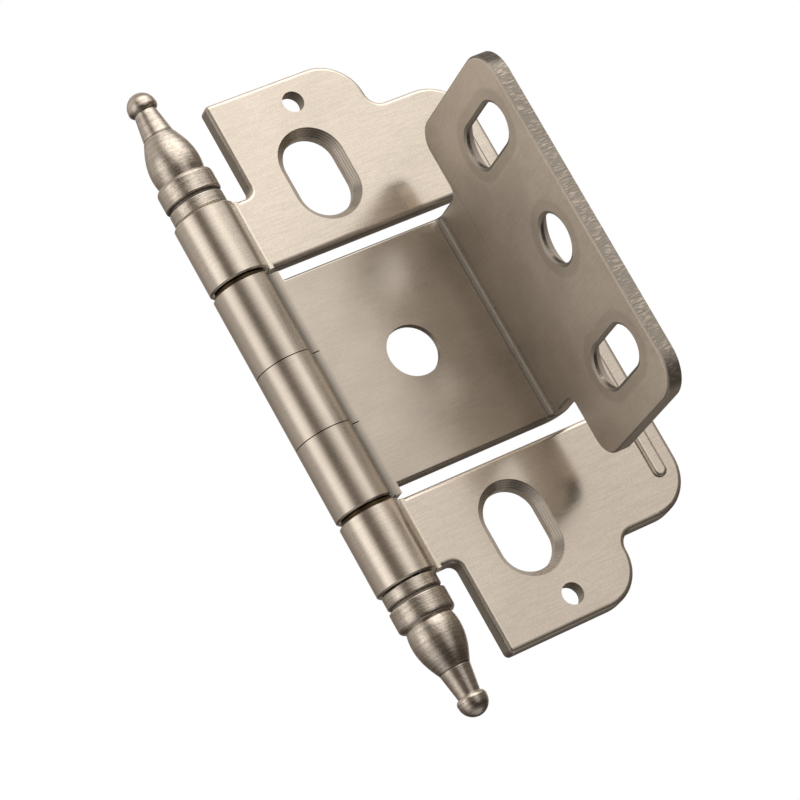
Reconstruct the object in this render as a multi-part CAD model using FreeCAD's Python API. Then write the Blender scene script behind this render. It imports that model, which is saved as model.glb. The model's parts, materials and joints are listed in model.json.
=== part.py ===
import FreeCAD, Part
import math
import os

# A full-wrap cabinet door hinge with ball bearings, closed, as it hangs on a face frame.
# Millimetres. Z runs up the pin, X from the pin across the leaves, Y into the cabinet,
# so the door sits on the -Y side of the leaves. The origin is the middle of the pin.

Vector = FreeCAD.Vector
X_AXIS = Vector(1, 0, 0)
INWARDS = Vector(0, 1, 0)
Z_AXIS = Vector(0, 0, 1)

# Sheet and barrel
sheet = 1.6
barrel_diameter = 6.35
crease_radius = 0.4
knuckle_edge_chamfer = 0.16
frame_edge_radius = 0.48
door_edge_radius = 0.28

# Door and the run of knuckles
door_thickness = 19.0
frame_knuckle_length = 7.65
knuckle_gap = 0.45
door_knuckle_run = 25.0
centre_finger_length = 7.95
centre_finger_drop = 0.43
finger_slit = 0.1
frame_curl_end_deg = 56.0
door_curl_end_deg = 55.0
top_finger_curl_end_deg = 58.5
finger_root_width = 0.3

# Frame leaf, from its window outwards and from the flange of the door leaf outwards
near_edge_gap = 2.375
notch_fillet = 0.9
slot_from_window = 7.31
small_hole_from_slot = 7.89
small_hole_from_end = 2.78
square_corner_excess = 0.05
lobe_corner_radius = 4.47
shoulder_step = 6.06
shoulder_run = 9.81
shoulder_fillet = 1.5
strip_gap = 3.195
strip_corner_radius = 4.85
strip_width = 4.8
window_corner_radius = 1.2

# Stiffening bead on the strip
bead_end_inset = 3.47
bead_width = 1.5
bead_height = 0.4
bead_edge_radius = 0.35
bead_root = 0.1
bead_press_depth = 0.38

# Screw slots and small holes in the frame leaf
frame_slot_from_pin = 13.1
frame_slot_width = 5.7
frame_slot_straight = 3.06
countersink_width = 7.16
small_hole_from_pin = 14.4
small_hole_diameter = 2.28

# Door leaf web, bend and flange
web_step = 0.97
web_hole_diameter = 5.46
web_hole_from_pin = 12.4
web_hole_land = 0.73
bend_inner_radius = 0.45
neck_length = 4.8
relief_fillet = 1.0
ear_height = 7.31
flange_length = 22.98
ear_corner_radius = 2.4
flange_corner_radius = 3.5
flange_slot_from_free_edge = 7.15
flange_slot_from_end = 6.46
flange_slot_width = 4.38
flange_slot_straight = 4.58
middle_hole_from_free_edge = 5.76
middle_hole_diameter = 5.0
rim_width = 0.3
rim_depth = 0.14
flange_hole_land = 0.5

# Pin and its turned finials
pin_clearance = 0.045
pin_chamfer = 0.3
socket_depth = 3.8
socket_end_clearance = 0.15
finial_gap = 0.1
collar_radius = 2.85
collar_height = 1.4
collar_edge_radius = 0.18
waist_radius = 2.52
waist_height = 0.3
ring_radius = 2.97
ring_height = 2.35
ring_edge_radius = 0.5
ring_top_flat = 0.05
belly_height = 5.1
belly_radius = 2.63
belly_top_radius = 1.6
neck_top_radius = 1.16
neck_height = 2.8
tip_radius = 1.52
tip_underside_height = 0.63
tip_lip_inset = 0.076
tip_lip_height = 0.21

# Belly outline between its foot and its top, as (share of its height, share of its radius)
belly_outline = [(0.27, 1.0), (0.56, 0.94), (0.81, 0.78)]

# Thrust bearings between the frame knuckles and the door knuckles
ball_count = 8
ball_clearance = 0.02
race_thickness = 0.4
raceway_depth = 0.1
race_cover = 0.475
race_lip = 0.15
race_bore_clearance = 0.07
race_seat_clearance = 0.03
cage_thickness = 0.3
cage_side_clearance = 0.02

# How far pieces of one sheet run into each other before they are joined
tab_overlap = 0.15

# Worked out from the sizes above
half_sheet = sheet / 2
barrel_radius = barrel_diameter / 2
bore_radius = barrel_radius - sheet
pin_radius = bore_radius - pin_clearance
crease_x = math.sqrt((barrel_radius + crease_radius) ** 2 - (half_sheet + crease_radius) ** 2)
near_edge_x = barrel_radius + near_edge_gap
door_run_half = door_knuckle_run / 2
window_half = door_run_half + knuckle_gap
run_half = window_half + frame_knuckle_length
frame_slot_z = window_half + slot_from_window
small_hole_z = frame_slot_z + small_hole_from_slot
leaf_half = small_hole_z + small_hole_from_end
shoulder_half = leaf_half - shoulder_step
square_corner_radius = frame_edge_radius + square_corner_excess
web_half = door_run_half - web_step
flange_half = web_half + ear_height
flange_inner_x = barrel_radius + door_thickness
flange_outer_x = flange_inner_x + sheet
strip_inner_x = flange_outer_x + strip_gap
leaf_reach = strip_inner_x + strip_width
lobe_reach = leaf_reach - shoulder_run
belly_foot_radius = ring_radius - ring_edge_radius - ring_top_flat
ring_top = collar_height + waist_height + ring_height
race_inner_radius = pin_radius + race_bore_clearance
race_outer_radius = barrel_radius - race_cover
pitch_radius = (race_inner_radius + race_outer_radius) / 2
ball_diameter = race_outer_radius - race_inner_radius - 2 * race_lip
race_spacing = ball_diameter + 2 * ball_clearance - 2 * raceway_depth
bearing_height = race_spacing + 2 * race_thickness
seat_depth = (bearing_height - knuckle_gap) / 2 + race_seat_clearance
seat_radius = race_outer_radius + race_seat_clearance
bearing_z = door_run_half + knuckle_gap / 2


def line(a, b):
    return Part.LineSegment(a, b).toShape()


def half_angle(points, i):
    """Half of the angle between the two edges that meet at corner i."""
    before = points[i - 1] - points[i]
    after = points[(i + 1) % len(points)] - points[i]
    return before.getAngle(after) / 2


def fitted_radii(points, radii):
    """The corner radii, each made smaller only where its two edges have no room for it."""
    count = len(points)
    setbacks = [radii[i] / math.tan(half_angle(points, i)) for i in range(count)]
    fitted = []
    for i in range(count):
        room = 1.0
        for j in (i - 1, (i + 1) % count):
            edge_length = (points[j] - points[i]).Length
            wanted = setbacks[i] + setbacks[j]
            if wanted > edge_length:
                room = min(room, edge_length / wanted)
        fitted.append(radii[i] * room)
    return fitted


def rounded_face(points, radii):
    """Flat face through the corner points, each corner rounded by its radius."""
    radii = fitted_radii(points, radii)
    count = len(points)
    edges = []
    first = None
    last = None
    for i in range(count):
        corner = points[i]
        before = (points[i - 1] - corner).normalize()
        after = (points[(i + 1) % count] - corner).normalize()
        half = half_angle(points, i)
        setback = radii[i] / math.tan(half)
        start = corner + before * setback
        end = corner + after * setback
        if first is None:
            first = start
        elif (start - last).Length > 1e-6:
            edges.append(line(last, start))
        if radii[i] > 0:
            bisector = (before + after).normalize()
            middle = corner + bisector * (radii[i] / math.sin(half) - radii[i])
            edges.append(Part.Arc(start, middle, end).toShape())
        last = end
    if (first - last).Length > 1e-6:
        edges.append(line(last, first))
    return Part.Face(Part.Wire(edges))


def leaf_plane(corners):
    """Rounded face in the leaf's front plane, from (x, z, radius) corners."""
    points = [Vector(x, -half_sheet, z) for x, z, radius in corners]
    return rounded_face(points, [radius for x, z, radius in corners])


def mirrored(corners):
    """The corners, and then the same ones below the middle in reverse order."""
    return corners + [(a, -z, radius) for a, z, radius in reversed(corners)]


def round_tool(centre, normal, radius, end_radius, depth):
    """Cylinder that starts at centre, or a cone where the end radius differs."""
    if end_radius == radius:
        return Part.makeCylinder(radius, depth, centre, normal)
    return Part.makeCone(radius, end_radius, depth, centre, normal)


def stadium(centre, long_axis, normal, radius, end_radius, straight, depth):
    """A slot tool that starts at centre and tapers along normal to its end radius."""
    if straight == 0:
        return round_tool(centre, normal, radius, end_radius, depth)
    offset = long_axis * (straight / 2)
    side = normal.cross(long_axis)
    floor = normal * depth
    start = centre - offset
    section = [start + side * radius, start - side * radius,
               start + floor - side * end_radius, start + floor + side * end_radius]
    middle = Part.Face(Part.makePolygon(section + [section[0]])).extrude(offset * 2)
    ends = [round_tool(centre + offset, normal, radius, end_radius, depth),
            round_tool(centre - offset, normal, radius, end_radius, depth)]
    return middle.fuse(ends).removeSplitter()


def at_angle(radius, degrees, over, z):
    """Point on a circle about the pin. Over is -1 when the sheet rolls over the front."""
    angle = math.radians(degrees)
    return Vector(radius * math.cos(angle), over * radius * math.sin(angle), z)


def curled_sheet(over, curl_end_deg, z_low, z_high):
    """One knuckle: sheet of even thickness that leaves the leaf, rolls round the pin and stops."""
    root_deg = math.degrees(math.atan2(half_sheet + crease_radius, crease_x))
    stop_deg = 360.0 - curl_end_deg
    half_way = (root_deg + stop_deg) / 2
    crease_centre = Vector(crease_x, over * (half_sheet + crease_radius), z_low)
    bend_deg = (180.0 + root_deg + 270.0) / 2

    def on_crease(radius):
        angle = math.radians(bend_deg)
        return crease_centre + Vector(radius * math.cos(angle), over * radius * math.sin(angle), 0)

    end_x = crease_x + tab_overlap * 2
    under_end = Vector(end_x, -over * half_sheet, z_low)
    under_crease = Vector(crease_x, -over * half_sheet, z_low)
    over_crease = Vector(crease_x, over * half_sheet, z_low)
    over_end = Vector(end_x, over * half_sheet, z_low)
    inner_root = at_angle(bore_radius, root_deg, over, z_low)
    outer_root = at_angle(barrel_radius, root_deg, over, z_low)
    inner_stop = at_angle(bore_radius, stop_deg, over, z_low)
    outer_stop = at_angle(barrel_radius, stop_deg, over, z_low)
    edges = [
        Part.LineSegment(under_end, under_crease),
        Part.Arc(under_crease, on_crease(crease_radius + sheet), inner_root),
        Part.Arc(inner_root, at_angle(bore_radius, half_way, over, z_low), inner_stop),
        Part.LineSegment(inner_stop, outer_stop),
        Part.Arc(outer_stop, at_angle(barrel_radius, half_way, over, z_low), outer_root),
        Part.Arc(outer_root, on_crease(crease_radius), over_crease),
        Part.LineSegment(over_crease, over_end),
        Part.LineSegment(over_end, under_end),
    ]
    face = Part.Face(Part.Wire([edge.toShape() for edge in edges]))
    return face.extrude(Vector(0, 0, z_high - z_low))


def edge_break(z_end, inwards):
    """Ring that takes the sharp outer corner off a knuckle's end at z_end."""
    overrun = knuckle_edge_chamfer / 8
    outside = barrel_radius + overrun
    corners = [Vector(barrel_radius - knuckle_edge_chamfer, 0, z_end),
               Vector(outside, 0, z_end),
               Vector(outside, 0, z_end + inwards * (knuckle_edge_chamfer + overrun))]
    face = Part.Face(Part.makePolygon(corners + [corners[0]]))
    return face.revolve(Vector(0, 0, 0), Z_AXIS, 360)


def bearing_seat(side, knuckle_side):
    """Counterbore for one race, in the knuckle above (+1) or below (-1) the gap."""
    gap_face = side * bearing_z + knuckle_side * knuckle_gap / 2
    return Part.makeCylinder(seat_radius, seat_depth, Vector(0, 0, gap_face),
                             Vector(0, 0, knuckle_side))


def front_edges(shape, y_plane, x_from):
    """Edges of a solid that lie wholly in one plane of constant y, beyond x_from."""
    picked = []
    for edge in shape.Edges:
        middle = edge.valueAt((edge.FirstParameter + edge.LastParameter) / 2)
        spots = [vertex.Point for vertex in edge.Vertexes] + [middle]
        if all(abs(p.y - y_plane) < 1e-6 for p in spots) and middle.x > x_from + 1e-6:
            picked.append(edge)
    return picked


def frame_plate():
    """Flat of the frame leaf: two lobes, the strip that joins them and the tabs to the knuckles."""
    tab_x = crease_x + tab_overlap
    half = [
        (tab_x, window_half, 0),
        (tab_x, run_half, 0),
        (near_edge_x, run_half, notch_fillet),
        (near_edge_x, leaf_half, square_corner_radius),
        (lobe_reach, leaf_half, lobe_corner_radius),
        (lobe_reach, shoulder_half, shoulder_fillet),
        (leaf_reach, shoulder_half, strip_corner_radius),
    ]
    inner = [(strip_inner_x, -window_half, window_corner_radius),
             (strip_inner_x, window_half, window_corner_radius)]
    plate = leaf_plane(mirrored(half) + inner).extrude(Vector(0, sheet, 0))
    return plate.makeFillet(frame_edge_radius, front_edges(plate, -half_sheet, tab_x))


def bead(inset):
    """Long bead with round ends that stands up from the front of the strip."""
    radius = bead_width / 2 - inset
    top = Vector(strip_inner_x + strip_width / 2, -half_sheet - bead_height, 0)
    straight = 2 * (shoulder_half - bead_end_inset) - bead_width
    body = stadium(top, Z_AXIS, INWARDS, radius, radius, straight, bead_height + bead_root)
    return body.makeFillet(bead_edge_radius, front_edges(body, top.y, 0))


def frame_leaf():
    knuckles = [curled_sheet(-1, frame_curl_end_deg, window_half, run_half),
                curled_sheet(-1, frame_curl_end_deg, -run_half, -window_half)]
    leaf = frame_plate().fuse(knuckles + [bead(0)])
    slot_radius = frame_slot_width / 2
    sink_radius = countersink_width / 2
    sink_depth = sink_radius - slot_radius
    hollow = bead(bead_edge_radius / 2)
    hollow.translate(INWARDS * (sheet + bead_height - bead_press_depth))
    cuts = [hollow]
    for side in (1, -1):
        slot_at = Vector(frame_slot_from_pin, -half_sheet, side * frame_slot_z)
        cuts.append(stadium(slot_at, Z_AXIS, INWARDS, slot_radius, slot_radius,
                            frame_slot_straight, sheet))
        cuts.append(stadium(slot_at, Z_AXIS, INWARDS, sink_radius, slot_radius,
                            frame_slot_straight, sink_depth))
        hole_at = Vector(small_hole_from_pin, -half_sheet, side * small_hole_z)
        cuts.append(Part.makeCylinder(small_hole_diameter / 2, sheet, hole_at, INWARDS))
        cuts.append(bearing_seat(side, side))
        cuts.append(edge_break(side * window_half, side))
        cuts.append(edge_break(side * run_half, -side))
    return leaf.cut(cuts).removeSplitter()


def flange_face():
    """Flange outline with its ears, in the plane of the flange's inner face."""
    bend_y = -half_sheet - bend_inner_radius
    ear_y = -half_sheet - neck_length
    free_y = -half_sheet - flange_length
    half = [
        (bend_y, web_half, 0),
        (ear_y, web_half, relief_fillet),
        (ear_y, flange_half, ear_corner_radius),
        (free_y, flange_half, flange_corner_radius),
    ]
    corners = mirrored(half)
    points = [Vector(flange_inner_x, y, z) for y, z, radius in corners]
    return rounded_face(points, [radius for y, z, radius in corners])


def web_and_bend():
    """The web across the door's edge and the quarter bend up into the flange."""
    bend_y = -half_sheet - bend_inner_radius
    start_x = crease_x + finger_root_width
    corners = [
        (start_x, -half_sheet, 0),
        (flange_inner_x, -half_sheet, bend_inner_radius),
        (flange_inner_x, bend_y - tab_overlap, 0),
        (flange_outer_x, bend_y - tab_overlap, 0),
        (flange_outer_x, half_sheet, bend_inner_radius + sheet),
        (start_x, half_sheet, 0),
    ]
    points = [Vector(x, y, -web_half) for x, y, radius in corners]
    face = rounded_face(points, [radius for x, y, radius in corners])
    return face.extrude(Vector(0, 0, 2 * web_half))


def door_fingers():
    """Three fingers of the web's near edge, each rolled round the pin from behind."""
    seam_high = centre_finger_length / 2 - centre_finger_drop
    seam_low = -centre_finger_length / 2 - centre_finger_drop
    half_slit = finger_slit / 2
    return [
        curled_sheet(1, top_finger_curl_end_deg, seam_high + half_slit, door_run_half),
        curled_sheet(1, door_curl_end_deg, seam_low + half_slit, seam_high - half_slit),
        curled_sheet(1, door_curl_end_deg, -door_run_half, seam_low - half_slit),
    ]


def screw_hole(centre, normal, radius, straight, land):
    """Hole or slot of even width as deep as its land, then countersunk up to the far face."""
    sink_depth = sheet - land
    through = stadium(centre, INWARDS, normal, radius, radius, straight, sheet)
    sink = stadium(centre + normal * land, INWARDS, normal, radius, radius + sink_depth,
                   straight, sink_depth)
    return through.fuse(sink)


def rimmed_hole(centre, radius, straight):
    """Screw hole in the flange, with the shallow dish that its punch left on the near face."""
    dish = stadium(centre, INWARDS, X_AXIS, radius + rim_width, radius, straight, rim_depth)
    return screw_hole(centre, X_AXIS, radius, straight, flange_hole_land).fuse(dish)


def inner_outline(leaf):
    """Edges that bound the face of the door leaf that the door lies against."""
    bend_x = flange_inner_x - bend_inner_radius
    bend_y = -half_sheet - bend_inner_radius
    picked = []
    for edge in leaf.Edges:
        middle = edge.valueAt((edge.FirstParameter + edge.LastParameter) / 2)
        spots = [vertex.Point for vertex in edge.Vertexes] + [middle]
        at_side = all(abs(abs(p.z) - web_half) < 1e-6 for p in spots)
        on_flange = all(abs(p.x - flange_inner_x) < 1e-6 for p in spots) and middle.y < bend_y - 1e-6
        on_web = all(abs(p.y + half_sheet) < 1e-6 for p in spots) and middle.x > crease_x
        in_bend = all(abs(math.hypot(p.x - bend_x, p.y - bend_y) - bend_inner_radius) < 1e-6
                      for p in spots)
        if on_flange or (at_side and (on_web or in_bend)):
            picked.append(edge)
    return picked


def door_leaf():
    root = Part.makeBox(finger_root_width, sheet, door_knuckle_run,
                        Vector(crease_x + tab_overlap, -half_sheet, -door_run_half))
    flange = flange_face().extrude(Vector(sheet, 0, 0))
    leaf = web_and_bend().fuse([root, flange] + door_fingers()).removeSplitter()
    leaf = leaf.makeFillet(door_edge_radius, inner_outline(leaf))
    free_y = -half_sheet - flange_length
    slot_z = flange_half - flange_slot_from_end
    web_hole_at = Vector(web_hole_from_pin, -half_sheet, 0)
    middle_at = Vector(flange_inner_x, free_y + middle_hole_from_free_edge, 0)
    cuts = [screw_hole(web_hole_at, INWARDS, web_hole_diameter / 2, 0, web_hole_land),
            rimmed_hole(middle_at, middle_hole_diameter / 2, 0)]
    for side in (1, -1):
        slot_at = Vector(flange_inner_x, free_y + flange_slot_from_free_edge, side * slot_z)
        cuts.append(rimmed_hole(slot_at, flange_slot_width / 2, flange_slot_straight))
        cuts.append(bearing_seat(side, -side))
        cuts.append(edge_break(side * door_run_half, -side))
    return leaf.cut(cuts).removeSplitter()


def hinge_pin():
    half = run_half + finial_gap + socket_depth - socket_end_clearance
    pin = Part.makeCylinder(pin_radius, 2 * half, Vector(0, 0, -half))
    rims = [edge for edge in pin.Edges if isinstance(edge.Curve, Part.Circle)]
    return pin.makeChamfer(pin_chamfer, rims)


def turned_foot():
    """Collar, waist and ring of a finial, on the knuckle at height 0."""
    ring_low = collar_height + waist_height
    corners = [
        (0, 0, 0),
        (collar_radius, 0, collar_edge_radius),
        (collar_radius, collar_height, collar_edge_radius),
        (waist_radius, collar_height, 0),
        (waist_radius, ring_low, 0),
        (ring_radius, ring_low, collar_edge_radius),
        (ring_radius, ring_top, ring_edge_radius),
        (0, ring_top, 0),
    ]
    points = [Vector(r, 0, height) for r, height, rounding in corners]
    section = rounded_face(points, [rounding for r, height, rounding in corners])
    return section.revolve(Vector(0, 0, 0), Z_AXIS, 360)


def turned_belly():
    """Belly, tapered neck and the domed tip that overhangs it."""
    belly_top = ring_top + belly_height
    neck_top = belly_top + neck_height
    tip_low = neck_top + tip_underside_height
    curve = [Vector(belly_foot_radius, 0, ring_top)]
    for up, out in belly_outline:
        curve.append(Vector(belly_radius * out, 0, ring_top + up * belly_height))
    curve.append(Vector(belly_top_radius, 0, belly_top))
    belly = Part.BSplineCurve()
    belly.interpolate(curve)
    neck_end = Vector(neck_top_radius, 0, neck_top)
    tip_lip = Vector(tip_radius - tip_lip_inset, 0, neck_top + tip_lip_height)
    tip_edge = Vector(tip_radius, 0, tip_low)
    tip_centre = Vector(0, 0, tip_low)
    foot_centre = Vector(0, 0, ring_top)
    section = [
        line(foot_centre, curve[0]),
        belly.toShape(),
        line(curve[-1], neck_end),
        Part.Arc(neck_end, tip_lip, tip_edge).toShape(),
        line(tip_edge, tip_centre),
        line(tip_centre, foot_centre),
    ]
    body = Part.Face(Part.Wire(section)).revolve(Vector(0, 0, 0), Z_AXIS, 360)
    dome = Part.makeSphere(tip_radius, tip_centre, Z_AXIS, 0, 90, 360)
    return body.fuse(dome)


def finial(side):
    socket = Part.makeCylinder(pin_radius, socket_depth)
    piece = turned_foot().fuse(turned_belly()).cut(socket).removeSplitter()
    if side < 0:
        piece.rotate(Vector(0, 0, 0), X_AXIS, 180)
    piece.translate(Vector(0, 0, side * (run_half + finial_gap)))
    return piece


def race(side, knuckle_side):
    """One washer of a thrust bearing, with its raceway turned towards the balls."""
    inner_face = side * bearing_z + knuckle_side * race_spacing / 2
    away = Vector(0, 0, knuckle_side)
    washer = Part.makeCylinder(race_outer_radius, race_thickness, Vector(0, 0, inner_face), away)
    bore = Part.makeCylinder(race_inner_radius, race_thickness, Vector(0, 0, inner_face), away)
    groove = Part.makeTorus(pitch_radius, ball_diameter / 2 + ball_clearance,
                            Vector(0, 0, side * bearing_z))
    return washer.cut([bore, groove])


def ball_centres(side):
    for i in range(ball_count):
        angle = 2 * math.pi * i / ball_count
        yield Vector(pitch_radius * math.cos(angle), pitch_radius * math.sin(angle), side * bearing_z)


def ball_cage(side):
    low = Vector(0, 0, side * bearing_z - cage_thickness / 2)
    ring = Part.makeCylinder(race_outer_radius - cage_side_clearance, cage_thickness, low)
    cuts = [Part.makeCylinder(race_inner_radius + cage_side_clearance, cage_thickness, low)]
    for centre in ball_centres(side):
        pocket_low = Vector(centre.x, centre.y, low.z)
        cuts.append(Part.makeCylinder(ball_diameter / 2 + ball_clearance, cage_thickness, pocket_low))
    return ring.cut(cuts)


def bearing(side, name):
    pieces = {
        name + "_frame_race": race(side, side),
        name + "_door_race": race(side, -side),
        name + "_ball_cage": ball_cage(side),
    }
    for i, centre in enumerate(ball_centres(side)):
        pieces["%s_ball_%d" % (name, i + 1)] = Part.makeSphere(ball_diameter / 2, centre)
    return pieces


def all_pieces():
    pieces = {
        "frame_leaf": frame_leaf(),
        "door_leaf": door_leaf(),
        "hinge_pin": hinge_pin(),
        "upper_finial": finial(1),
        "lower_finial": finial(-1),
    }
    pieces.update(bearing(1, "upper"))
    pieces.update(bearing(-1, "lower"))
    return pieces


os.makedirs("parts", exist_ok=True)
for node, shape in all_pieces().items():
    solids = shape.Solids
    print(node, "solids", len(solids), "valid", shape.isValid(), "volume %.2f" % shape.Volume)
    piece = solids[0] if len(solids) == 1 else shape
    piece.exportStep("parts/%s.step" % node)
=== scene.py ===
import json
import math

import bpy
from mathutils import Matrix, Vector

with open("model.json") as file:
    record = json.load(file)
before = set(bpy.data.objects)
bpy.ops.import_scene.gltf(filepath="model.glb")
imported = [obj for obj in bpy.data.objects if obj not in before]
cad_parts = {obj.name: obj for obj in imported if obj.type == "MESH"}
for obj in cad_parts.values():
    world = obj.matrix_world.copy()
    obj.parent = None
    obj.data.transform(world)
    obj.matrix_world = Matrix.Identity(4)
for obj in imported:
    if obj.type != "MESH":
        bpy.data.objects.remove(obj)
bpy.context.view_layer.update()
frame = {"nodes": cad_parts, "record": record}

MM = 0.001

# Camera, fitted to the photograph: place in mm, angles in degrees, lens in pixels
IMAGE_PX = 800
FOCAL_PX = 3660.0
PRINCIPAL_PX = (351.9, 410.2)
CAMERA_PLACE = (-147.4, -305.2, -82.7)
LOOK_RIGHT = 26.36
LOOK_UP = 13.18
ROLL = 29.26
SENSOR_MM = 36.0
NEAREST_M = 0.01

# Soft lamps of the studio: azimuth from the front towards the barrel's side, elevation,
# half angles of the bright core and of the soft rim, in degrees, and strength
LAMPS = {
    "front": (-15, 40, 8, 48, 1.56),
    "front_low": (-15, -10, 4, 30, 0.5),
    "right": (-60, 36, 8, 32, 0.9),
    "left": (76, 18, 7, 34, 0.76),
    "left_low": (82, -16, 8, 42, 0.44),
    "left_fill": (108, 32, 5, 60, 0.38),
    "back_right": (-135, 24, 10, 50, 0.4),
    "back_left": (165, 45, 10, 50, 0.2),
    "above": (-25, 84, 12, 55, 0.32),
    "left_below": (100, -40, 10, 60, 0.2),
    "below": (-154, -78, 8, 40, 0.4),
}
LAMP_COLOUR = "#FFF9F1"
# The dim room round them: warm white, darker below than above, and the two heights between
# which it changes, as the sine of the elevation
ROOM_COLOUR = "#FFEAD6"
ROOM_LOW = 0.075
ROOM_LEVEL = 0.19
ROOM_TURN = (-0.45, 0.12)
BACKDROP_COLOUR = "#FFFFFF"

# Floor, in metres: half of its side and its height
FLOOR_HALF = 3.0
FLOOR_Z = -0.25
FLOOR_COLOUR = "#E8E6E2"

# Places on the hinge, in mm, as the frame has them
FLANGE_X = 22.175
WEB_FRONT_Y = -0.8
DIE_LINE_Y = -6.2
NECK_SEAM_Z = 29.85
WAIST_Z = 22.25
# Slots and holes: middle along the slot, middle across it, half of its straight run, radius
FLANGE_SLOT = (-16.63, 12.38, 2.29, 2.19)
MIDDLE_HOLE = (-18.02, 0.0, 0.0, 2.5)
FRAME_SLOT = (20.26, 13.1, 1.53, 2.85)

# Borders of what the materials draw, in mm: where it has no effect, then where it has all
LEAF_X = (3.9, 4.2)
ROOT_NEAR_X = (1.5, 2.4)
ROOT_FAR_X = (3.6, 3.2)
ROOT_FRONT_Y = (-2.9, -2.4)
ROOT_BACK_Y = (0.0, -0.5)
GROOVE_NEAR_X = (1.1, 2.2)
GROOVE_FAR_X = (4.0, 2.6)
GROOVE_BACK_Y = (0.6, 0.2)
FLANK_NEAR_X = (-0.3, 0.4)
FLANK_FAR_X = (1.9, 1.5)
FLANK_BACK_Y = (-2.0, -2.3)
WEB_NEAR_X = (3.0, 3.4)
WEB_FAR_X = (21.9, 21.3)
WEB_REACH_X = (18.0, 20.6)
BY_BEND_X = (20.0, 21.0)
BEND_X = (21.0, 21.2)
BEND_Y = (-0.6, -0.75)
FLANGE_NEAR_X = (21.3, 21.9)
FLANGE_BACK_Y = (-0.9, -2.5)
FLANGE_REACH = (2.0, 21.0)
EDGE_BACK_Y = (-1.4, -1.8)
RIM_BACK_Y = (-1.8, -2.5)
DIE_LINE_Z = (2.0, 6.0)
# The same, as the distance from a slot's edge, from a line or through the bend
SINK = (0.9, 0.75)
LAND = (0.12, 0.04)
CLEAR_OF_SINK = (0.9, 1.2)
RING = (1.7, 1.1)
DISH = (1.8, 1.2)
DIE_LINE = (0.2, 0.05)
SEAM = (0.12, 0.04)
WAIST = (0.2, 0.13)
CREASE_START = (-0.85, -0.4)
CREASE_END = (0.3, 0.2)
FINE_CREASE_START = (0.2, 0.3)
FINE_CREASE_END = (0.55, 0.45)
# The same for the way a surface faces, as the share of it that lies along an axis
SHEARED_WALL = (0.5, 0.3)
SINK_WALL = (0.95, 0.85)
LAND_WALL = (0.4, 0.3)
ROUNDED_OVER = (0.99, 0.9)
FACES_NEAR = (-0.15, -0.5)
FACES_UP = (0.15, 0.5)
DOOR_FACES_UP = (0.1, 0.5)
RIM_TURNED = (-0.99, -0.9)
RIM_NOT_FLAT_ON = (-0.3, -0.6)
FREE_EDGE = (-0.2, -0.7)
WEB_EDGE = (0.2, 0.6)
# The same for noise, which lies mostly between these values
NOISE = (0.35, 0.65)
NOISE_WIDE = (0.3, 0.7)
PIT_COLOUR = (0.34, 0.46)
PIT_DEPTH = (0.34, 0.5)
SPARKLE = (0.5, 0.66)

# Crossed brush marks: how far they are turned, in degrees, and how much they count
CROSSED_TURN = 12
CROSSED_SHARE = 0.6
# Ripple that the cutter leaves in a countersink, in radians to the mm
CUTTER_RIPPLE = 34.0

# Depth of the relief in mm where its height is 1
FRAME_RELIEF = 0.006
DOOR_RELIEF = 0.003
TURNED_RELIEF = 0.006
PLAIN_RELIEF = 0.003


def linear(hex_colour):
    """Linear colour, with alpha, from an sRGB hex value."""
    channels = []
    for i in (1, 3, 5):
        c = int(hex_colour[i:i + 2], 16) / 255
        channels.append(c / 12.92 if c <= 0.04045 else ((c + 0.055) / 1.055) ** 2.4)
    return (*channels, 1.0)


def make_camera():
    data = bpy.data.cameras.new("photo_camera")
    data.sensor_width = SENSOR_MM
    data.lens = FOCAL_PX / IMAGE_PX * SENSOR_MM
    data.shift_x = 0.5 - PRINCIPAL_PX[0] / IMAGE_PX
    data.shift_y = PRINCIPAL_PX[1] / IMAGE_PX - 0.5
    data.clip_start = NEAREST_M
    right, up, roll = (math.radians(a) for a in (LOOK_RIGHT, LOOK_UP, ROLL))
    forward = Vector((math.sin(right) * math.cos(up), math.cos(right) * math.cos(up),
                      math.sin(up)))
    level = forward.cross(Vector((0, 0, 1))).normalized()
    upright = level.cross(forward)
    across = level * math.cos(roll) - upright * math.sin(roll)
    turned = Matrix((across, across.cross(forward), -forward)).transposed()
    camera = bpy.data.objects.new("photo_camera", data)
    camera.matrix_world = Matrix.Translation(Vector(CAMERA_PLACE) * MM) @ turned.to_4x4()
    bpy.context.scene.collection.objects.link(camera)
    bpy.context.scene.camera = camera


def add_node(tree, kind, sockets=None, **settings):
    """A shader node with its settings. A socket takes a value or another node's output."""
    item = tree.nodes.new("ShaderNode" + kind)
    for name, value in settings.items():
        setattr(item, name, value)
    for socket, value in (sockets or {}).items():
        if isinstance(value, bpy.types.NodeSocket):
            tree.links.new(value, item.inputs[socket])
        else:
            item.inputs[socket].default_value = value
    return item


def blend(tree, operation, *terms):
    """One value from several terms, joined from left to right by one operation. A term is a
    number, an output, or a soft step: (output, start, end), which goes from 0 to 1, or
    (output, start, end, low, high)."""
    joined = None
    for term in terms:
        if isinstance(term, tuple):
            value, start, end, low, high = (*term, 0.0, 1.0)[:5]
            term = add_node(tree, "MapRange", {
                "Value": value, "From Min": start, "From Max": end, "To Min": low,
                "To Max": high}, interpolation_type="SMOOTHSTEP").outputs[0]
        if joined is None:
            joined = term
        else:
            joined = add_node(tree, "Math", {0: joined, 1: term},
                              operation=operation).outputs[0]
    return joined


def inside(outside, *masks):
    """Terms for blend, one for each (mask, value): the value inside it, else the one outside."""
    return [(mask, 0.0, 1.0, outside, value) for mask, value in masks]


def away(tree, value, place=0.0):
    """How far a value is from a place, to either side of it."""
    offset = add_node(tree, "Math", {0: value, 1: place}, operation="SUBTRACT")
    return add_node(tree, "Math", {0: offset.outputs[0]}, operation="ABSOLUTE").outputs[0]


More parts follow.
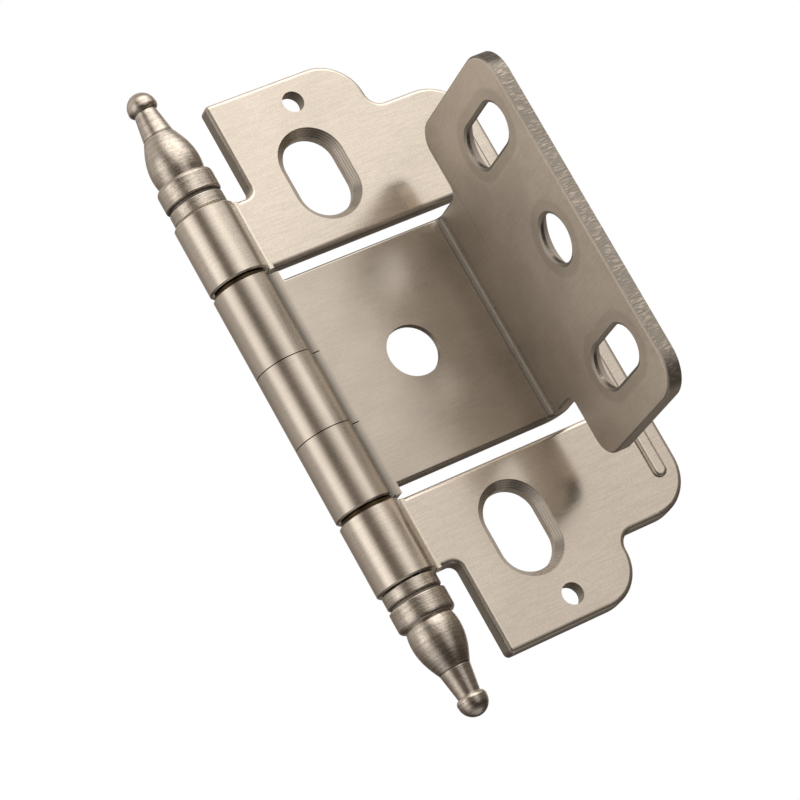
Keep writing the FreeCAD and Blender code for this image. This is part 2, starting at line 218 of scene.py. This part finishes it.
def make_studio():
    """A dim warm room with soft, slightly warm lamps, which only the metal sees. The camera
    sees white."""
    world = bpy.data.worlds.new("studio")
    world.use_nodes = True
    tree = world.node_tree
    tree.nodes.clear()
    way = add_node(tree, "TexCoord").outputs["Generated"]
    height = add_node(tree, "SeparateXYZ", {0: way}).outputs["Z"]
    room = blend(tree, "ADD", (height, *ROOM_TURN, ROOM_LOW, ROOM_LEVEL))
    light = add_node(tree, "VectorMath", {0: linear(ROOM_COLOUR)[:3], "Scale": room},
                     operation="SCALE").outputs[0]
    for azimuth, elevation, core, rim, strength in LAMPS.values():
        a, e = math.radians(azimuth), math.radians(elevation)
        toward = (-math.sin(a) * math.cos(e), -math.cos(a) * math.cos(e), math.sin(e))
        cosine = add_node(tree, "VectorMath", {0: way, 1: toward}, operation="DOT_PRODUCT")
        angle = add_node(tree, "Math", {0: cosine.outputs["Value"]}, operation="ARCCOSINE")
        glow = blend(tree, "ADD", (angle.outputs[0], math.radians(rim), math.radians(core),
                                   0.0, strength))
        lamp = add_node(tree, "VectorMath", {0: linear(LAMP_COLOUR)[:3], "Scale": glow},
                        operation="SCALE")
        light = add_node(tree, "VectorMath", {0: light, 1: lamp.outputs[0]},
                         operation="ADD").outputs[0]
    studio = add_node(tree, "Background", {"Color": light, "Strength": 1.0})
    backdrop = add_node(tree, "Background", {"Color": linear(BACKDROP_COLOUR), "Strength": 1.0})
    seen = add_node(tree, "LightPath").outputs["Is Camera Ray"]
    mix = add_node(tree, "MixShader", {0: seen, 1: studio.outputs[0], 2: backdrop.outputs[0]})
    add_node(tree, "OutputWorld", {"Surface": mix.outputs[0]})
    bpy.context.scene.world = world
    bpy.context.scene.view_settings.view_transform = "Standard"


def new_material(name):
    """Empty metal material, its node tree, its shader and Object coordinates in mm."""
    material = bpy.data.materials.new(name)
    material.use_nodes = True
    tree = material.node_tree
    shader = tree.nodes["Principled BSDF"]
    shader.inputs["Metallic"].default_value = 1.0
    place = add_node(tree, "VectorMath", {
        0: add_node(tree, "TexCoord").outputs["Object"], "Scale": 1 / MM}, operation="SCALE")
    return material, tree, shader, place.outputs[0]


def place_and_facing(tree, place):
    """x, y and z of the place in mm, then of the way that the surface faces there."""
    normal = add_node(tree, "TexCoord").outputs["Normal"]
    return (*add_node(tree, "SeparateXYZ", {0: place}).outputs,
            *add_node(tree, "SeparateXYZ", {0: normal}).outputs)


def grain(tree, place, scale, turn=0.0, detail=2.0):
    """Noise with so many grains to the mm along x, y and z, turned about y."""
    mapped = add_node(tree, "Mapping", {"Vector": place, "Rotation": (0, math.radians(turn), 0),
                                        "Scale": scale}, vector_type="POINT")
    return add_node(tree, "TexNoise", {"Vector": mapped.outputs[0], "Scale": 1.0,
                                       "Detail": detail}).outputs["Fac"]


def slot_distance(tree, along, across, slot):
    """Distance in mm outwards from the edge of a slot. Where a coordinate is given without
    its sign, that covers the slot's twin on the other side of the middle too."""
    along_at, across_at, half_run, radius = slot
    reach = blend(tree, "SUBTRACT", away(tree, along, along_at), half_run)
    reach = blend(tree, "MAXIMUM", reach, 0.0)
    aside = blend(tree, "SUBTRACT", across, across_at)
    flat = add_node(tree, "CombineXYZ", {0: reach, 1: aside})
    length = add_node(tree, "VectorMath", {0: flat.outputs[0]}, operation="LENGTH")
    return blend(tree, "SUBTRACT", length.outputs["Value"], radius)


def finish(tree, shader, colour, dim, roughness, height, bump_mm):
    """Colour dimmed by a factor, roughness, and relief of so many mm."""
    shade = add_node(tree, "VectorMath", {0: linear(colour)[:3], "Scale": dim},
                     operation="SCALE")
    tree.links.new(shade.outputs[0], shader.inputs["Base Color"])
    tree.links.new(roughness, shader.inputs["Roughness"])
    bump = add_node(tree, "Bump", {"Height": height, "Distance": bump_mm * MM,
                                   "Strength": 1.0})
    tree.links.new(bump.outputs[0], shader.inputs["Normal"])


def satin_grain(tree, place):
    """Fine brush marks along the leaf and round the barrel, with finer random ones between.
    Real brush marks are some 0.05 mm wide, too fine to show, so they are drawn 0.15 mm wide."""
    brushed = grain(tree, place, (0.6, 0.6, 7.0))
    crossed = grain(tree, place, (5.0, 5.0, 1.2), CROSSED_TURN)
    speckle = grain(tree, place, (6.0, 6.0, 6.0))
    total = blend(tree, "ADD", brushed, blend(tree, "MULTIPLY", crossed, CROSSED_SHARE), speckle)
    return blend(tree, "MULTIPLY", total, 1 / (2 + CROSSED_SHARE))


def frame_nickel():
    """Satin nickel plate on pressed steel, brushed after plating: soft warm sheen whose fine
    lines catch the light, sheared edges rough and darker, countersinks with cutter marks.
    Light and shade are painted into its colour: painted light on faces turned up, at the
    leaf's root by the barrel and on the land round each slot, painted shade on faces turned
    to the near side."""
    material, tree, shader, place = new_material("satin_nickel_brushed_sheet")
    x, y, z, facing_x, facing_y, facing_z = place_and_facing(tree, place)
    marks = satin_grain(tree, place)
    cloud = grain(tree, place, (0.12, 0.12, 0.12))
    shear = grain(tree, place, (7.0, 1.5, 7.0))
    slot = slot_distance(tree, away(tree, z), x, FRAME_SLOT)
    flat_on = away(tree, facing_y)

    in_sink = blend(tree, "MULTIPLY", (slot, *SINK), (flat_on, *SINK_WALL))
    # Painted light: the land round each slot is lightened in the colour, and made rougher
    land = blend(tree, "MULTIPLY", (slot, *LAND), (flat_on, *LAND_WALL))
    cutter = add_node(tree, "Math", {0: blend(tree, "MULTIPLY", slot, CUTTER_RIPPLE)},
                      operation="SINE").outputs[0]
    edge = blend(tree, "MULTIPLY", (flat_on, *SHEARED_WALL), (x, *LEAF_X))
    # Painted shade: faces turned to the near side are darkened in the colour
    near_side_painted_shade = blend(tree, "MULTIPLY", (facing_x, *FACES_NEAR), (x, *LEAF_X))
    rim = blend(tree, "MULTIPLY", (flat_on, *ROUNDED_OVER), (x, *LEAF_X),
                (slot, *CLEAR_OF_SINK))
    # Painted light: faces turned up are lightened in the colour
    upper_side_painted_light = blend(tree, "MULTIPLY", (facing_z, *FACES_UP), (x, *LEAF_X),
                       (slot, *CLEAR_OF_SINK))
    # Painted highlight: the leaf's root by the barrel is lightened in the colour, and made
    # rougher
    root = blend(tree, "MULTIPLY", (x, *ROOT_NEAR_X), (x, *ROOT_FAR_X), (y, *ROOT_FRONT_Y),
                 (y, *ROOT_BACK_Y))

    # Colour: grain and cloud, painted light and shade on the masks above, and darker sheared
    # edges
    dim = blend(tree, "MULTIPLY", (marks, *NOISE, 0.92, 1.07), (cloud, *NOISE, 0.97, 1.02),
                *inside(1.0, (near_side_painted_shade, 0.72), (upper_side_painted_light, 1.3), (root, 1.5), (edge, 0.85),
                        (in_sink, 0.98), (land, 1.7)))
    rough = blend(tree, "ADD", (marks, *NOISE_WIDE, 0.16, 0.21),
                  *inside(0.0, (edge, 0.1), (rim, 0.22), (in_sink, 0.1), (root, 0.15),
                          (land, 0.2)))
    relief = blend(tree, "ADD", marks, blend(tree, "MULTIPLY", edge, shear, 3.0),
                   blend(tree, "MULTIPLY", in_sink, cutter, 0.45))
    finish(tree, shader, "#DDD6CD", dim, rough, relief, FRAME_RELIEF)
    return material


def door_nickel():
    """Satin nickel plate on pressed steel as the press left it: duller than the brushed leaf,
    hazy on the flange, with a pressed ring round each screw hole and a coarse sheared edge.
    Light and shade are painted into its colour: painted shade in the groove, on the barrel
    beside it, in the bend, on the web, on faces turned up, on the flange's rounded rims and
    round each hole; painted light on the flange, more away from the bend; painted glints on
    the sheared free edge."""
    material, tree, shader, place = new_material("satin_nickel_pressed_sheet")
    x, y, z, facing_x, facing_y, facing_z = place_and_facing(tree, place)
    marks = satin_grain(tree, place)
    cloud = grain(tree, place, (0.15, 0.15, 0.15))
    shear = grain(tree, place, (1.5, 7.0, 7.0), detail=4.0)

    # Painted light: the flange is lightened in the colour, more so away from the bend, and made
    # rougher there
    flange = blend(tree, "MULTIPLY", (y, *FLANGE_BACK_Y), (x, *FLANGE_NEAR_X))
    reach = blend(tree, "MULTIPLY", flange, y, -1.0)
    # Painted shade: the groove between the barrel and the web is darkened in the colour, and
    # made rougher
    groove = blend(tree, "MULTIPLY", (x, *GROOVE_FAR_X), (x, *GROOVE_NEAR_X),
                   (y, *GROOVE_BACK_Y))
    # Painted shade: the front of the barrel beside the groove is darkened in the colour
    flank = blend(tree, "MULTIPLY", (x, *FLANK_NEAR_X), (x, *FLANK_FAR_X), (y, *FLANK_BACK_Y))
    # Painted shade: the flange's rounded rims are darkened in the colour
    rim = blend(tree, "MULTIPLY", (facing_x, *RIM_TURNED), (facing_x, *RIM_NOT_FLAT_ON),
                (y, *RIM_BACK_Y), (x, *BY_BEND_X))

    # Rises through the bend from the web's side to the flange's, 0 on the bend's diagonal
    through_bend = blend(tree, "SUBTRACT", blend(tree, "SUBTRACT", x, FLANGE_X),
                         blend(tree, "SUBTRACT", y, WEB_FRONT_Y))
    # Painted shade: the bend and a fine line in it are darkened in the colour, and the bend made
    # rougher
    bend = blend(tree, "MULTIPLY", (y, *BEND_Y), (x, *BEND_X))
    crease = blend(tree, "MULTIPLY", bend, (through_bend, *CREASE_START),
                   (through_bend, *CREASE_END))
    fine_crease = blend(tree, "MULTIPLY", bend, (through_bend, *FINE_CREASE_START),
                        (through_bend, *FINE_CREASE_END))
    die_line = blend(tree, "MULTIPLY", flange, (away(tree, y, DIE_LINE_Y), *DIE_LINE),
                     (z, *DIE_LINE_Z))

    hole = blend(tree, "MINIMUM", slot_distance(tree, y, away(tree, z), FLANGE_SLOT),
                 slot_distance(tree, y, z, MIDDLE_HOLE))
    # Painted shade: a darker ring round each hole, where the pressed dish is
    ring = blend(tree, "MULTIPLY", flange, (hole, *RING))
    edge = blend(tree, "MULTIPLY", (away(tree, facing_x), *SHEARED_WALL), (x, *BY_BEND_X),
                 (y, *EDGE_BACK_Y))
    free_edge = blend(tree, "MULTIPLY", edge, (facing_y, *FREE_EDGE))
    # Painted glints: bright specks on the sheared free edge, in the colour
    sparkle = blend(tree, "MULTIPLY", free_edge, shear)
    # Painted shade: the web is darkened in the colour, more so towards the bend
    web = blend(tree, "MULTIPLY", (x, *WEB_NEAR_X), (x, *WEB_FAR_X))
    web_reach_painted_shade = blend(tree, "MULTIPLY", web, x)
    web_edge = blend(tree, "MULTIPLY", (away(tree, facing_z), *WEB_EDGE), (x, *LEAF_X))
    # Painted shade: faces turned up are darkened in the colour
    upper_side_painted_light = blend(tree, "MULTIPLY", (facing_z, *DOOR_FACES_UP), (x, *LEAF_X))

    # Colour: grain and cloud, painted glints, painted light and shade on the masks above, and a
    # darker free edge, die line and web edges
    dim = blend(tree, "MULTIPLY", (marks, *NOISE, 0.94, 1.05), (cloud, *NOISE, 0.94, 1.04),
                (sparkle, *SPARKLE, 1.0, 1.6), (web_reach_painted_shade, *WEB_REACH_X, 1.0, 0.78),
                (reach, *FLANGE_REACH, 1.0, 1.15),
                *inside(1.0, (upper_side_painted_light, 0.62), (free_edge, 0.42), (web, 0.84), (flange, 1.22),
                        (flank, 0.76), (rim, 0.68), (groove, 0.38), (crease, 0.48),
                        (fine_crease, 0.85), (die_line, 0.9), (ring, 0.88), (web_edge, 0.75)))
    rough = blend(tree, "ADD", (marks, *NOISE_WIDE, 0.2, 0.26),
                  (reach, *FLANGE_REACH, 0.0, 0.12),
                  *inside(0.0, (flange, 0.2), (web_edge, 0.2), (groove, 0.2), (crease, 0.2)))
    marks_height = blend(tree, "MULTIPLY", marks, *inside(0.6, (web, 0.25)))
    relief = blend(tree, "ADD", marks_height, blend(tree, "MULTIPLY", edge, shear, 13.0),
                   (hole, *DISH, 0.0, -6.5))
    finish(tree, shader, "#D6CFC6", dim, rough, relief, DOOR_RELIEF)
    return material


def turned_nickel():
    """Satin nickel plate on turned steel: tool rings run round it, with fine pits in the plate
    that sparkle, and a dark line at the waist and where the neck meets the belly."""
    material, tree, shader, place = new_material("satin_nickel_turned")
    z = add_node(tree, "SeparateXYZ", {0: place}).outputs[2]
    tall = away(tree, z)
    rings = grain(tree, place, (0.35, 0.35, 6.0), detail=3.0)
    pits = grain(tree, place, (3.5, 3.5, 3.5), detail=4.0)
    seam = blend(tree, "MULTIPLY", (away(tree, tall, NECK_SEAM_Z), *SEAM))
    waist = blend(tree, "MULTIPLY", (away(tree, tall, WAIST_Z), *WAIST))
    dim = blend(tree, "MULTIPLY", (rings, *NOISE, 0.82, 1.1), (pits, *PIT_COLOUR, 0.84, 1.0),
                *inside(1.0, (seam, 0.5), (waist, 0.6)))
    rough = blend(tree, "ADD", (pits, *NOISE_WIDE, 0.3, 0.2), *inside(0.0, (waist, 0.4)))
    relief = blend(tree, "ADD", rings, (pits, *PIT_DEPTH, -0.7, 0.0),
                   blend(tree, "MULTIPLY", seam, -3.0))
    finish(tree, shader, "#D3CCC3", dim, rough, relief, TURNED_RELIEF)
    return material


def plain_metal(name, colour, roughness, marks_per_mm):
    """Metal of the hidden bearing or pin: a dull even sheen, with fine marks of its making."""
    material, tree, shader, place = new_material(name)
    marks = grain(tree, place, marks_per_mm)
    dim = blend(tree, "MULTIPLY", (marks, *NOISE_WIDE, 0.95, 1.05))
    rough = blend(tree, "ADD", (marks, *NOISE_WIDE, roughness, roughness + 0.06))
    finish(tree, shader, colour, dim, rough, marks, PLAIN_RELIEF)
    return material


def dress(node, material):
    mesh = frame["nodes"][node].data
    mesh.materials.clear()
    mesh.materials.append(material)


def make_floor():
    """Matt pale paper, which the metal doesn't mirror."""
    half = FLOOR_HALF
    mesh = bpy.data.meshes.new("floor")
    mesh.from_pydata([(-half, -half, FLOOR_Z), (half, -half, FLOOR_Z), (half, half, FLOOR_Z),
                      (-half, half, FLOOR_Z)], [], [(0, 1, 2, 3)])
    floor = bpy.data.objects.new("floor", mesh)
    floor.visible_glossy = False
    bpy.context.scene.collection.objects.link(floor)
    paper = bpy.data.materials.new("pale_paper")
    paper.use_nodes = True
    shader = paper.node_tree.nodes["Principled BSDF"]
    shader.inputs["Base Color"].default_value = linear(FLOOR_COLOUR)
    mesh.materials.append(paper)


make_camera()
make_studio()
make_floor()
materials = {
    "nickel_turned": turned_nickel(),
    "pin_steel": plain_metal("drawn_steel_rod", "#B8B6B2", 0.3, (3.0, 3.0, 0.4)),
    "bearing_steel": plain_metal("oiled_bearing_steel", "#8C8A86", 0.25, (4.0, 4.0, 4.0)),
    # Painted shade: the cage's brass is darkened so the gaps between the knuckles read as shade
    "cage_brass": plain_metal("stamped_brass_painted_shade", "#4A3C28", 0.3, (3.0, 3.0, 3.0)),
}
leaves = {"frame_leaf": frame_nickel(), "door_leaf": door_nickel()}
for part in frame["record"]["subparts"]:
    name = part["node"]
    dress(name, leaves[name] if name in leaves else materials[part["material_slot"]])
